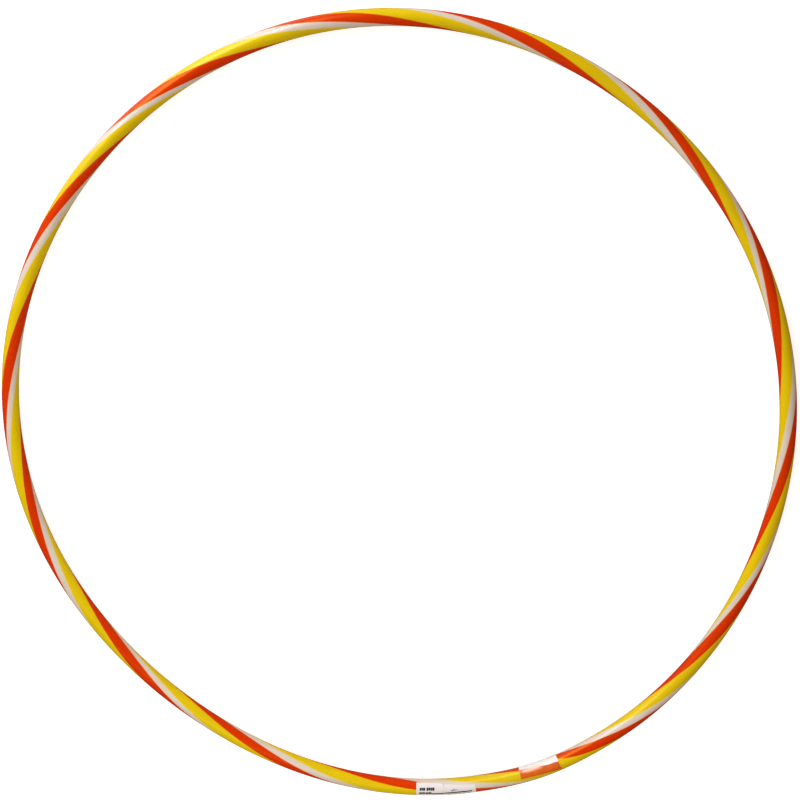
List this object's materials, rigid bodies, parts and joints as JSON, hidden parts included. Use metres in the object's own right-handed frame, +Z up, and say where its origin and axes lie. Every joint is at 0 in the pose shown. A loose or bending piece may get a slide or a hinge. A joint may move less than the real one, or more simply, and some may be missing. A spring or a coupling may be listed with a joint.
{
  "type": "rhythmic hoop",
  "caption": "Large round gymnastics hoop of hollow plastic tube with spiral orange, white and yellow bands, joined over an inner plug under a sticker and clear tape.",
  "frame": {"origin": "middle of the hoop's outline seen from above, on the plane it lies on", "axes": "+Z up through the hoop's face, +Y towards the side opposite the joint, +X to the right"},
  "size_m": [0.8492, 0.8581, 0.0185],
  "materials": {
    "tube_plastic": "satin gloss, co-extruded orange, white and yellow bands",
    "plug_plastic": "natural moulded plastic",
    "staple_wire": "galvanised wire",
    "printed_sticker": "printed vinyl",
    "clear_film": "clear glossy tape",
    "label_paper": "thin coated paper"
  },
  "bodies": {
    "root": {"hoop_tube": "tube_plastic", "joint_plug": "plug_plastic", "joint_staple_1": "staple_wire", "joint_staple_2": "staple_wire", "joint_sticker": "printed_sticker", "clear_joint_tape": "clear_film", "barcode_label": "label_paper", "reference_label": "label_paper"}
  },
  "joints": []
}
